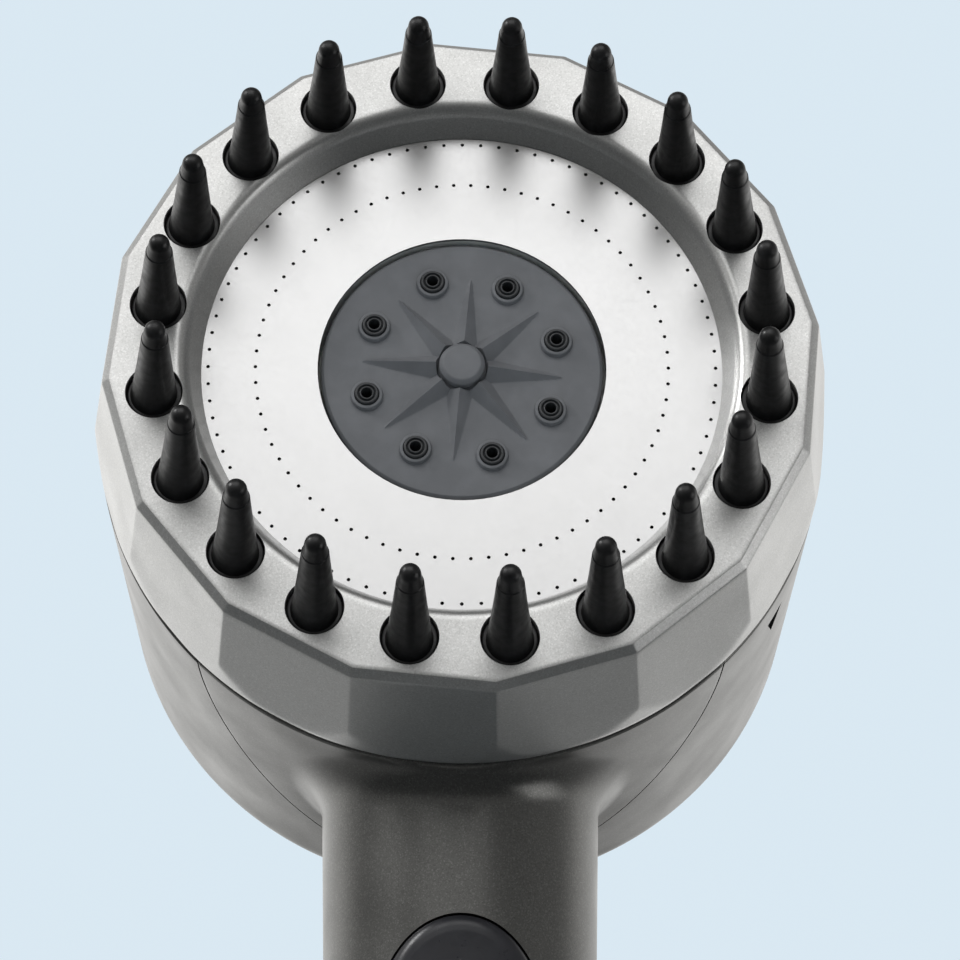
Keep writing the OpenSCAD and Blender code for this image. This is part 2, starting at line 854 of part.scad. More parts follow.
module nozzle_disc() {
    bevel = 0.5;
    turns = steps(nozzle_count, nozzle_turn);
    color(slate) on_head() difference() {
        union() {
            ring(disc_r, disc_back, disc_front - bevel);
            translate([0, 0, disc_front - bevel - e])
                cylinder(r1 = disc_r, r2 = disc_r - bevel, h = bevel + e);
            around(turns, nozzle_circle_r) translate([0, 0, disc_front - e])
                cylinder(r1 = nozzle_r + 0.65, r2 = nozzle_r + 0.45, h = 0.7);
            ring(cap_r + 0.6, disc_front - e, boss_top);
            for (a = steps(nozzle_count, star_turn)) rotate([0, 0, a])
                translate([0, 0, disc_front]) star_ray();
        }
        around(turns, nozzle_circle_r) ring(nozzle_r + 0.1, disc_back - e, nozzle_top);
        ring(stem_r, disc_back - e, cap_top);
    }
}

module nozzle_pad() {
    turns = steps(nozzle_count, nozzle_turn);
    color(black) on_head() difference() {
        union() {
            ring(disc_r - 0.7, pad_back, disc_back - clamp_gap, 3.6);
            around(turns, nozzle_circle_r) ring(nozzle_r, pad_back, nozzle_top);
        }
        around(turns, nozzle_circle_r) ring(0.7, pad_back - e, nozzle_top + e);
    }
}

module centre_cap() {
    chamfer = 0.5;
    color(slate) on_head() {
        ring(cap_r, boss_top + clamp_gap, cap_top - chamfer);
        translate([0, 0, cap_top - chamfer - e])
            cylinder(r1 = cap_r, r2 = cap_r - chamfer, h = chamfer + e);
        ring(stem_r - clamp_gap, disc_back + 0.2, boss_top + clamp_gap + e);
    }
}

// Dish behind the plate: water chambers, hub, detent track and seal skirt in one moulding
module face_carrier() {
    color(white) on_head() difference() {
        union() {
            ring(chamber_r + 2, floor_back, floor_h);
            ring(track_in_r + e, floor_back, seat_h, chamber_r);
            ring(track_in_r + e, seat_h - e, 0, plate_edge_r + 0.15);
            ring(rib_out_r, floor_h - e, -plate_t - clamp_gap, plate_open_r + 0.25);
            ring(flange_r, comb_back - flange_t, comb_back - clamp_gap, track_in_r);
            ring(track_out_r, track_back, comb_back - flange_t + e, track_in_r);
            ring(ear_r, track_back, track_back + ear_t, track_in_r);
            ring(hub_r, track_back, floor_back + e);
            ring(skirt_r, skirt_back, floor_back + e, skirt_r - skirt_t);
        }
        ring(post_r + run_gap, track_back - e, hub_floor);
        ring(screw_r + 0.35, hub_floor - e, floor_h + e);
        translate([0, 0, seal_h]) seal_groove(cup_r, face_wire_r);
        around(steps(ear_screws, ear_turn), ear_screw_r)
            ring(screw_r - 0.05, track_back - e, track_back + ear_t + e);
        ring(track_r + 1.8, track_back - e, track_back + detent_groove, track_r - 1.8);
        around([detent_turn, detent_turn - mode_step, detent_turn + mode_step], track_r)
            translate([0, 0, track_back + detent_groove]) sphere(r = 1.5, $fn = 32);
        around([mode_turns[0], mode_turns[2]], port_r) ring(port_hole_r, floor_back - e, floor_h + e);
        around([mode_turns[1], mode_turns[2]], channel_r) ring(channel_w / 2, floor_back - e, floor_h + e);
    }
}

module ring_screws() {
    color(zinc) on_head() around(steps(ear_screws, ear_turn), ear_screw_r)
        translate([0, 0, track_back]) mirror([0, 0, 1]) difference() {
            union() {
                ring(1.9, 0, 1.2);
                ring(1, -6, e);
            }
            translate([0, 0, 1]) cube([2.4, 0.6, 1.2], center = true);
        }
}

module diverter_plate() {
    front = floor_back - clamp_gap;
    color(slate) on_head() difference() {
        ring(diverter_out_r, diverter_back, front, hub_r + 0.2);
        around(mode_turns, port_r) ring(port_hole_r, diverter_back - e, front + e);
        for (a = [mode_turns[1], mode_turns[2]]) rotate([0, 0, a])
            translate([port_r, -channel_w / 2, front - channel_d])
                cube([channel_r - port_r, channel_w, channel_d + e]);
    }
}

module face_seal() {
    color(black) on_head() translate([0, 0, seal_h]) seal(cup_r, face_wire_r);
}

module detent_pin() {
    color(zinc) on_head() around([detent_turn], track_r) {
        ring(detent_r, detent_tip - detent_len, detent_tip - detent_r);
        translate([0, 0, detent_tip - detent_r]) sphere(r = detent_r);
    }
}

handle_shell();
barrel_shell();
index_mark();
waterway();
bulkhead_screws();
centre_screw();
port_seal();
detent_spring();
riser_pipe();
riser_seals();
valve_body();
valve_seals();
button_spring();
filter_core();
filter_caps();
inlet_connector();
connector_seal();
flow_regulator();
inlet_strainer();
comb_ring();
comb();
face_plate();
plate_gasket();
nozzle_disc();
nozzle_pad();
centre_cap();
face_carrier();
ring_screws();
diverter_plate();
face_seal();
stop_button();
valve_spool();
spool_seals();
detent_pin();
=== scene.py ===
"""Looks of the handheld shower head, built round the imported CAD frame."""
import json
import math

import bmesh
import bpy
import numpy as np
from mathutils import Matrix, Vector


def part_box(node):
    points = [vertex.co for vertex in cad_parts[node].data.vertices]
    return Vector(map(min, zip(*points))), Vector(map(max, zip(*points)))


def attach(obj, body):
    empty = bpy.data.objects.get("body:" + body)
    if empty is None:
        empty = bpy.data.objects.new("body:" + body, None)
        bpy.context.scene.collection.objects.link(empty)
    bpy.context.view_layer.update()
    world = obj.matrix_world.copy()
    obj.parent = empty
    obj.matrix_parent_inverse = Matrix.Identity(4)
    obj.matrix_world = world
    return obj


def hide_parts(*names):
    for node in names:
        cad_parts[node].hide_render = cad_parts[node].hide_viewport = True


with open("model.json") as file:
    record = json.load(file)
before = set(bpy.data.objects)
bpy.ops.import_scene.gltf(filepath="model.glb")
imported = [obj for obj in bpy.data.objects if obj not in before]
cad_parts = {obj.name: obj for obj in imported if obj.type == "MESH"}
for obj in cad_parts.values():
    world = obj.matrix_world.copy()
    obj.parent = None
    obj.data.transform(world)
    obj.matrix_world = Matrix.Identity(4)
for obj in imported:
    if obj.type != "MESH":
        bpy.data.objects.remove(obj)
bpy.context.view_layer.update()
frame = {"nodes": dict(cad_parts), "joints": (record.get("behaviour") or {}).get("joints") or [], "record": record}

# ------------------------------------------------------------------ measures from the frame, in mm
MM = 0.001


def box_mm(node):
    low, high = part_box(node)
    return np.array(low) / MM, np.array(high) / MM


joint_at = {joint["name"]: joint.get("pos_m") for joint in frame["joints"]}
HEAD_Z = joint_at["mode_turn"][2] / MM
ring_low, ring_high = box_mm("comb_ring")
plate_low = box_mm("face_plate")[0]
barrel_low, barrel_high = box_mm("barrel_shell")
handle_low = box_mm("handle_shell")[0]
disc_low, disc_high = box_mm("nozzle_disc")
button_low, button_high = box_mm("stop_button")
connector_low, connector_high = box_mm("inlet_connector")
cap_low, cap_high = box_mm("centre_cap")
pad_low, pad_high = box_mm("nozzle_pad")

PLATE_Y = plate_low[1]
SEAM_R = (barrel_high[0] - barrel_low[0]) / 2
RING_TOP = PLATE_Y - ring_low[1]
RING_BOTTOM = PLATE_Y - ring_high[1]
BARREL_FRONT = PLATE_Y - barrel_low[1]
BARREL_BACK = PLATE_Y - barrel_high[1]
HANDLE_BASE = handle_low[2]
BUTTON_Z = (button_low[2] + button_high[2]) / 2
BUTTON_A = (button_high[0] - button_low[0]) / 2
BUTTON_B = (button_high[2] - button_low[2]) / 2

# Face dial
RING_SIDES = 16
RING_TURN = math.radians(106.5)
RING_FLARE = 3.1
FLAT_R = SEAM_R - RING_FLARE
EDGE_H, EDGE_W = 1.0, 1.0
RING_TILT = RING_FLARE / (RING_TOP - RING_BOTTOM - EDGE_H)
RING_WALL = 2.5
TOP_UNDER = RING_TOP - 2.2
PLATE_SHOW_R = FLAT_R - 11.4
LIP_FOOT = 0.1
LIP_EDGE_R = PLATE_SHOW_R + 1.3
LIP_BEVEL = 1.3
LIP_T = 2.1
BRISTLES = 20
BRISTLE_TURN = math.radians(8.6)
BRISTLE_LEAN = math.radians(5)
BRISTLE_HOLE_R = 3.55
BRISTLE_R, BRISTLE_MID_R, BRISTLE_TIP_R, BRISTLE_H = 2.8, 2.05, 1.3, 18.0
COMB_IN_R = PLATE_SHOW_R + 3.3
COMB_OUT_R = FLAT_R - RING_WALL - 0.6
BRISTLE_CIRCLE_R = (COMB_IN_R + COMB_OUT_R) / 2
COMB_FRONT = TOP_UNDER - 0.05
COMB_BACK = COMB_FRONT - 2.05
PLUG_TOP = RING_TOP - 0.7

# Nozzle disc
DISC_R = (disc_high[0] - disc_low[0]) / 2
DISC_BACK = PLATE_Y - disc_high[1]
DISC_FRONT = DISC_BACK + 2.4
PAD_FRONT, PAD_BACK = PLATE_Y - pad_low[1], PLATE_Y - pad_high[1]
PAD_HOLE_R = 3.6
NOZZLES = 8
NOZZLE_CIRCLE_R = 12.6
NOZZLE_TURN = math.radians(17.5)
STAR_TURN = math.radians(40)
STAR_R, STAR_HALF, STAR_H = 12.9, 1.6, 1.6
CAP_R = (cap_high[0] - cap_low[0]) / 2
CAP_FRONT, CAP_BACK = PLATE_Y - cap_low[1], PLATE_Y - cap_high[1]

# Barrel and handle
BARREL_WALL = 2.6
BARREL_ROUND = 6.0
SADDLE_HALF, SADDLE_LEN = 33.5, 46.0
INDEX_TURN = math.radians(-30)
INDEX_W, INDEX_L, INDEX_DEPTH = 4.0, 6.0, 1.3
NECK_R, HANDLE_END_R, BORE_R, NECK_BORE_R = 18.1, 15.0, 12.2, 9.5
NECK_ROUND = 4.5
BUTTON_GAP = 0.3
BUTTON_PROUD, BUTTON_T = 1.1, 3.1

# Inlet, with a G 1/2 thread
THREAD_R, THREAD_PITCH, THREAD_LEN = 10.48, 1.814, 12.0
INLET_BORE_R = 8.0


# ------------------------------------------------------------------ mesh helpers
def on_head(x, y, h):
    """Point given about the spray axis: right, up and out of the face."""
    return (x, PLATE_Y - h, HEAD_Z + y)


def round_path(corners, steps=4, closed=True):
    """Rounds the corners of an outline. A corner is (r, h) or (r, h, rounding length)."""
    out = []
    count = len(corners)
    for i, corner in enumerate(corners):
        here = np.array(corner[:2], float)
        size = corner[2] if len(corner) > 2 else 0
        if size == 0 or (not closed and i in (0, count - 1)):
            out.append(tuple(here))
            continue
        before = np.array(corners[i - 1][:2], float) - here
        after = np.array(corners[(i + 1) % count][:2], float) - here
        start = here + before / np.linalg.norm(before) * size
        end = here + after / np.linalg.norm(after) * size
        for k in range(steps + 1):
            t = k / steps
            out.append(tuple((1 - t) ** 2 * start + 2 * t * (1 - t) * here + t * t * end))
    return out


def finish_mesh(name, verts, faces, sharp=35, weld=1e-4):
    """Makes an object from points in mm, welds doubles and sets smooth shading with sharp edges."""
    bm = bmesh.new()
    points = [bm.verts.new(v) for v in verts]
    for face in faces:
        if len(set(face)) > 2:
            bm.faces.new([points[i] for i in face])
    bmesh.ops.remove_doubles(bm, verts=bm.verts, dist=weld)
    bmesh.ops.dissolve_degenerate(bm, edges=bm.edges, dist=weld)
    bmesh.ops.recalc_face_normals(bm, faces=bm.faces)
    bmesh.ops.scale(bm, vec=(MM, MM, MM), verts=bm.verts)
    mesh = bpy.data.meshes.new(name)
    bm.to_mesh(mesh)
    bm.free()
    obj = bpy.data.objects.new(name, mesh)
    bpy.context.scene.collection.objects.link(obj)
    shade(obj, sharp)
    return obj


def shade(obj, sharp=35):
    obj.data.polygons.foreach_set("use_smooth", [True] * len(obj.data.polygons))
    obj.data.set_sharp_from_angle(angle=math.radians(sharp))


def grid_faces(rows, columns, wrap_rows, start=0):
    """Quads over rows of points. The columns always wrap round."""
    faces = []
    for i in range(rows if wrap_rows else rows - 1):
        a, b = start + i * columns, start + ((i + 1) % rows) * columns
        for j in range(columns):
            k = (j + 1) % columns
            faces.append((a + j, a + k, b + k, b + j))
    return faces


def lathe(name, outline, place=on_head, centre=(0, 0), segments=96, sharp=35):
    """Closed outline of (radius, height) turned about an axis at centre."""
    verts, faces = lathe_parts(outline, place, centre, segments)
    return finish_mesh(name, verts, faces, sharp)


def lathe_parts(outline, place=on_head, centre=(0, 0), segments=96, start=0):
    verts = []
    for radius, height in outline:
        for j in range(segments):
            a = 2 * math.pi * j / segments
            verts.append(place(centre[0] + radius * math.cos(a), centre[1] + radius * math.sin(a), height))
    return verts, grid_faces(len(outline), segments, True, start)


def cut(obj, cutter, operation="DIFFERENCE", sharp=35):
    """Applies a boolean and removes the cutter."""
    boolean = obj.modifiers.new("cut", "BOOLEAN")
    boolean.operation = operation
    boolean.solver = "EXACT"
    boolean.object = cutter
    bpy.context.view_layer.update()
    result = bpy.data.meshes.new_from_object(obj.evaluated_get(bpy.context.evaluated_depsgraph_get()))
    obj.modifiers.clear()
    old = obj.data
    obj.data = result
    bpy.data.meshes.remove(old)
    bpy.data.objects.remove(cutter)
    shade(obj, sharp)


def ellipse_prism(name, a, b, place, near, far, count=240):
    """Prism with an oval section, used as a cutter."""
    ring = [(a * math.cos(t), b * math.sin(t)) for t in np.linspace(0, 2 * math.pi, count, endpoint=False)]
    verts = [place(u, v, near) for u, v in ring] + [place(u, v, far) for u, v in ring]
    faces = grid_faces(2, count, False)
    faces += [tuple(range(count)), tuple(range(2 * count - 1, count - 1, -1))]
    return finish_mesh(name, verts, faces)


def dress(obj, body, material, slot, *nodes):
    """Gives a piece its material, its body and the CAD nodes it stands for; the slot is not used."""
    obj.data.materials.clear()
    obj.data.materials.append(material)
    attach(obj, body)
    if nodes:
        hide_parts(*nodes)
    return obj


# ------------------------------------------------------------------ materials
class Shader:
    """Small helper that wires a Principled material."""

    def __init__(self, name, colour, roughness, metallic=0.0, **sockets):
        self.material = bpy.data.materials.new(name)
        self.material.use_nodes = True
        self.tree = self.material.node_tree
        self.shader = self.tree.nodes["Principled BSDF"]
        self.shader.inputs["Base Color"].default_value = (*colour, 1)
        self.shader.inputs["Roughness"].default_value = roughness
        self.shader.inputs["Metallic"].default_value = metallic
        for socket, value in sockets.items():
            self.shader.inputs[socket.replace("_", " ")].default_value = value
        self.colour = colour
        self.roughness = roughness
        self.coords = self.tree.nodes.new("ShaderNodeTexCoord").outputs["Object"]
        self.height = None

    def node(self, kind, **values):
        made = self.tree.nodes.new(kind)
        for key, value in values.items():
            if hasattr(made, key):
                setattr(made, key, value)
            else:
                made.inputs[key].default_value = value
        return made

    def link(self, a, b):
        self.tree.links.new(a, b)

    def noise(self, scale_mm, detail=2.0, roughness=0.5, stretch=None):
        noise = self.node("ShaderNodeTexNoise", Scale=1 / (scale_mm * MM), Detail=detail, Roughness=roughness)
        source = self.coords
        if stretch:
            mapping = self.node("ShaderNodeMapping")
            mapping.inputs["Scale"].default_value = stretch
            self.link(self.coords, mapping.inputs["Vector"])
            source = mapping.outputs["Vector"]
        self.link(source, noise.inputs["Vector"])
        return noise.outputs["Fac"]

    def cells(self, scale_mm):
        cells = self.node("ShaderNodeTexVoronoi", Scale=1 / (scale_mm * MM))
        self.link(self.coords, cells.inputs["Vector"])
        return cells

    def ramp(self, source, low, high, out_low, out_high):
        mapped = self.node("ShaderNodeMapRange")
        for key, value in zip(("From Min", "From Max", "To Min", "To Max"), (low, high, out_low, out_high)):
            mapped.inputs[key].default_value = value
        self.link(source, mapped.inputs["Value"])
        return mapped.outputs["Result"]

    def tint(self, factor, other):
        """Mixes the base colour towards another by a factor."""
        mix = self.node("ShaderNodeMix", data_type="RGBA")
        first, second = [socket for socket in mix.inputs if socket.type == "RGBA"]
        base = self.shader.inputs["Base Color"]
        if base.is_linked:
            self.link(base.links[0].from_socket, first)
        else:
            first.default_value = base.default_value
        second.default_value = (*other, 1)
        self.link(factor, mix.inputs["Factor"])
        self.link([socket for socket in mix.outputs if socket.type == "RGBA"][0], base)

    def rough(self, source):
        self.link(source, self.shader.inputs["Roughness"])

    def bump(self, source, depth_mm, strength=1.0):
        bump = self.node("ShaderNodeBump", Distance=depth_mm * MM, Strength=strength)
        self.link(source, bump.inputs["Height"])
        if self.height:
            self.link(self.height, bump.inputs["Normal"])
        self.height = bump.outputs["Normal"]
        self.link(self.height, self.shader.inputs["Normal"])


def metal_paint(name, colour, dark, light, roughness):
    """Satin metallic paint on plastic with visible flake and a thin clear coat."""
    made = Shader(name, colour, roughness, 0.85, Coat_Weight=0.2, Coat_Roughness=0.35)
    flake = made.cells(0.16)
    made.tint(made.ramp(made.noise(0.22, 3, 0.6), 0.5, 0.7, 0, 0.6), dark)
    made.tint(made.ramp(flake.outputs["Color"], 0.6, 0.95, 0, 0.5), light)
    made.rough(made.ramp(made.noise(9, 3), 0.3, 0.7, roughness - 0.04, roughness + 0.05))
    made.bump(made.noise(0.25, 3), 0.004)
    return made.material


def satin_steel():
    """Fine satin stainless sheet."""
    made = Shader("plate_steel", (0.56, 0.56, 0.56), 0.3, 1.0)
    made.rough(made.ramp(made.noise(0.4, 4), 0.3, 0.7, 0.29, 0.33))
    made.tint(made.ramp(made.noise(6, 4), 0.45, 0.8, 0, 0.5), (0.52, 0.52, 0.52))
    made.bump(made.noise(0.3, 2), 0.00015)
    return made.material


def plain_metal(name, colour, roughness):
    made = Shader(name, colour, roughness, 1.0)
    made.rough(made.ramp(made.noise(0.6, 4), 0.3, 0.7, roughness - 0.06, roughness + 0.1))
    made.bump(made.noise(0.3, 3), 0.003)
    return made.material


def soft_rubber(name, colour, roughness, dust):
    """Matt moulded silicone or rubber with a little dust and a faint mottle."""
    made = Shader(name, colour, roughness, 0.0, Specular_IOR_Level=0.45)
    made.tint(made.ramp(made.noise(2.6, 5, 0.65), 0.5, 0.8, 0, dust), (0.09, 0.09, 0.095))
    made.tint(made.ramp(made.noise(0.35, 2), 0.68, 0.8, 0, dust), (0.16, 0.16, 0.165))
    made.rough(made.ramp(made.noise(1.2, 4), 0.3, 0.7, roughness - 0.08, roughness + 0.12))
    made.bump(made.noise(0.5, 4), 0.012)
    return made.material


def moulded_plastic(name, colour, roughness, grain=0.25, depth=0.006, **sockets):
    """Moulded plastic with a fine spark-eroded grain."""
    made = Shader(name, colour, roughness, 0.0, **sockets)
    lighter = tuple(min(1, c * 1.35 + 0.005) for c in colour)
    made.tint(made.ramp(made.noise(3.5, 4), 0.4, 0.75, 0, 0.5), lighter)
    made.rough(made.ramp(made.noise(1.0, 3), 0.3, 0.7, roughness - 0.05, roughness + 0.07))
    made.bump(made.noise(grain, 3), depth)
    return made.material


def wound_fibre():
    """Polypropylene yarn wound slantwise round the filter core."""
    made = Shader("cotton", (0.85, 0.84, 0.8), 0.95, 0.0, Sheen_Weight=0.4)
    mapping = made.node("ShaderNodeMapping")
    mapping.inputs["Rotation"].default_value = (0.35, 0.0, 0.0)
    made.link(made.coords, mapping.inputs["Vector"])
    wave = made.node("ShaderNodeTexWave", bands_direction="Z", Scale=180.0, Distortion=3.0)
    made.link(mapping.outputs["Vector"], wave.inputs["Vector"])
    # The grooves between the windings are painted darker where the bump is low: painted shade in the grooves.
    made.tint(made.ramp(wave.outputs["Fac"], 0.0, 0.6, 0.5, 0), (0.55, 0.53, 0.48))
    made.bump(wave.outputs["Fac"], 0.4)
    made.bump(made.noise(0.3, 4), 0.05)
    return made.material


MATERIALS = {
    "silver": metal_paint("silver", (0.54, 0.54, 0.53), (0.36, 0.36, 0.35), (0.76, 0.76, 0.75), 0.36),
    "gunmetal": metal_paint("gunmetal", (0.125, 0.124, 0.118), (0.07, 0.07, 0.066), (0.24, 0.24, 0.23), 0.33),
    "plate_steel": satin_steel(),
    "steel": plain_metal("steel", (0.6, 0.6, 0.6), 0.3),
    "slate": moulded_plastic("slate", (0.14, 0.145, 0.155), 0.58),
    "silicone": soft_rubber("silicone", (0.006, 0.006, 0.0065), 0.38, 0.12),
    "rubber": soft_rubber("rubber", (0.015, 0.015, 0.015), 0.55, 0.2),
    "black_plastic": moulded_plastic("black_plastic", (0.018, 0.018, 0.022), 0.32),
    "white_plastic": moulded_plastic("white_plastic", (0.7, 0.7, 0.67), 0.45, Subsurface_Weight=0.05),
    "cotton": wound_fibre(),
}
NOZZLE_RUBBER = soft_rubber("nozzle_rubber", (0.035, 0.037, 0.04), 0.42, 0.1)

for part in frame["record"]["subparts"]:
    node = frame["nodes"][part["node"]]
    node.data.materials.clear()
    node.data.materials.append(MATERIALS[part["material_slot"]])


# ------------------------------------------------------------------ comb ring
def soft_min(values, width):
    """Smooth least value, which rounds a ridge where two flats meet."""
    values = np.asarray(values)
    least = values.min(axis=0)
    return least - width * np.log(np.exp(-(values - least) / width).sum(axis=0))


def flats_radius(angles, height, ridge=0.03):
    """Radius of the sixteen-sided outside at a height, with its front chamfer."""
    shoulder = RING_TOP - EDGE_H
    reach = FLAT_R + (shoulder - height) * RING_TILT
    if height > shoulder:
        reach = FLAT_R - (height - shoulder) * EDGE_W / EDGE_H
    centres = RING_TURN + np.arange(RING_SIDES) * 2 * math.pi / RING_SIDES
    away = (angles[None, :] - centres[:, None] + math.pi) % (2 * math.pi) - math.pi
    radii = np.where(np.abs(away) < 1.2, reach / np.cos(np.clip(away, -1.2, 1.2)), 999.0)
    facets = soft_min(radii, ridge)
    return soft_min(np.stack([facets, np.full_like(facets, SEAM_R)]), 0.05)


def make_comb_ring():
    columns = RING_SIDES * 40
    half_side = math.pi / RING_SIDES
    across = half_side * np.sin(np.linspace(-math.pi / 2, math.pi / 2, 40, endpoint=False))
    angles = np.concatenate([RING_TURN + 2 * half_side * side + across for side in range(RING_SIDES)])
    circle = np.ones(columns)
    shoulder = RING_TOP - EDGE_H
    lip_top = LIP_EDGE_R + 1.0

    rows = []
    inner = round_path([(PLATE_SHOW_R, LIP_FOOT), (LIP_EDGE_R, RING_TOP - LIP_BEVEL, 0.4),
                        (lip_top - 0.1, RING_TOP, 0.95), (lip_top + 1, RING_TOP)], 8, closed=False)
    rows += [(circle * r, h) for r, h in inner]
    band_in = lip_top + 1
    band_out = flats_radius(angles, RING_TOP)
    for t in (0.2, 0.4, 0.6, 0.8, 0.93):
        rows.append((band_in + (band_out - band_in) * t, RING_TOP))
    soft = 0.12
    rows.append((band_out - soft, RING_TOP))
    rows.append((flats_radius(angles, RING_TOP - soft / 2) - soft * 0.15, RING_TOP - soft * 0.35))
    rows.append((flats_radius(angles, RING_TOP - soft), RING_TOP - soft))
    rows.append((flats_radius(angles, shoulder + soft), shoulder + soft))
    rows.append((flats_radius(angles, shoulder) - soft * 0.2, shoulder))
    for h in np.linspace(shoulder - soft, RING_BOTTOM + 0.45, 26):
        rows.append((flats_radius(angles, h), h))
    rows.append((flats_radius(angles, RING_BOTTOM) - 0.12, RING_BOTTOM + 0.12))
    rows.append((flats_radius(angles, RING_BOTTOM) - 0.45, RING_BOTTOM))
    wall_foot = FLAT_R - RING_WALL + (TOP_UNDER - RING_BOTTOM) * RING_TILT
    rows.append((circle * wall_foot, RING_BOTTOM))
    rows.append((circle * (FLAT_R - RING_WALL), TOP_UNDER))
    rows.append((circle * (LIP_EDGE_R + LIP_T - 0.5), TOP_UNDER))
    rows.append((circle * (PLATE_SHOW_R + LIP_T), LIP_FOOT))

    verts = [on_head(r * math.cos(a), r * math.sin(a), h) for radii, h in rows for r, a in zip(radii, angles)]
    ring = finish_mesh("comb_ring_casing", verts, grid_faces(len(rows), columns, True), 30)

    verts, faces = [], []
    for i in range(BRISTLES):
        a = BRISTLE_TURN + 2 * math.pi * i / BRISTLES
        outline = round_path([(0, 0.5), (BRISTLE_HOLE_R, 0.5), (BRISTLE_HOLE_R, RING_TOP - 0.12),
                              (BRISTLE_HOLE_R + 0.1, RING_TOP + 0.02), (BRISTLE_HOLE_R + 0.1, RING_TOP + 1),
                              (0, RING_TOP + 1)])
        centre = (BRISTLE_CIRCLE_R * math.cos(a), BRISTLE_CIRCLE_R * math.sin(a))
        more, quads = lathe_parts(outline, on_head, centre, 64, len(verts))
        verts += more
        faces += quads
    cut(ring, finish_mesh("holes", verts, faces), sharp=30)
    return dress(ring, "face_dial", MATERIALS["silver"], "silver", "comb_ring")


# ------------------------------------------------------------------ bristles
def bristle_outline():
    """Flared foot, slim waist, a fine step below the tapering tip and a round end."""
    tip_h = BRISTLE_H - BRISTLE_TIP_R
    collar_r = BRISTLE_TIP_R + 0.36
    outline = [(0, -1.6), (BRISTLE_R + 0.2, -1.6), (BRISTLE_R + 0.15, -0.7), (BRISTLE_R, 0.1, 0.5),
               (BRISTLE_MID_R, BRISTLE_H * 0.5, 3), (collar_r, tip_h - 2.0, 0.12),
               (collar_r - 0.12, tip_h - 1.9, 0.06), (BRISTLE_TIP_R, tip_h)]
    outline = round_path(outline, 5, closed=False)
    for t in np.linspace(0, math.pi / 2, 10):
        outline.append((BRISTLE_TIP_R * math.cos(t), tip_h + BRISTLE_TIP_R * math.sin(t)))
    return outline


def make_comb():
    verts, faces = lathe_parts([(COMB_IN_R, COMB_BACK), (COMB_OUT_R, COMB_BACK), (COMB_OUT_R, COMB_FRONT),
                                (COMB_IN_R, COMB_FRONT)], segments=240)
    plug_r = BRISTLE_HOLE_R - 0.08
    plug = round_path([(0, COMB_FRONT - 0.5), (plug_r, COMB_FRONT - 0.5), (plug_r, PLUG_TOP, 0.3),
                       (0, PLUG_TOP)])
    outline = bristle_outline()
    for i in range(BRISTLES):
        a = BRISTLE_TURN + 2 * math.pi * i / BRISTLES
        x, y = BRISTLE_CIRCLE_R * math.cos(a), BRISTLE_CIRCLE_R * math.sin(a)
        more, quads = lathe_parts(plug, on_head, (x, y), 48, len(verts))
        verts += more
        faces += quads

        def leaning(u, v, h, a=a):
            out = BRISTLE_CIRCLE_R + u * math.cos(BRISTLE_LEAN) - h * math.sin(BRISTLE_LEAN)
            up = RING_TOP + h * math.cos(BRISTLE_LEAN) + u * math.sin(BRISTLE_LEAN)
            return on_head(out * math.cos(a) - v * math.sin(a), out * math.sin(a) + v * math.cos(a), up)

        more, quads = lathe_parts(outline, leaning, (0, 0), 40, len(verts))
        verts += more
        faces += quads
    return dress(finish_mesh("comb_bristles", verts, faces, 40), "face_dial", MATERIALS["silicone"],
                 "silicone", "comb")


# ------------------------------------------------------------------ nozzle disc
def star_height(x, y):
    """Height of the eight roof-shaped rays above the disc."""
    radius = np.hypot(x, y)
    angle = np.arctan2(y, x)
    step = 2 * math.pi / 8
    away = (angle - STAR_TURN + step / 2) % step - step / 2
    along = radius * np.cos(away)
    across = np.abs(radius * np.sin(away))
    root = CAP_R
    fade = np.clip(1 - (along - root) / (STAR_R - root), 0, 1)
    half = 0.12 + STAR_HALF * fade ** 0.9
    roof = (0.12 + STAR_H * fade) * np.clip(1 - across / half, 0, 1)
    return np.where(along < STAR_R, roof * np.clip((STAR_R - along) / 0.5, 0, 1), 0)


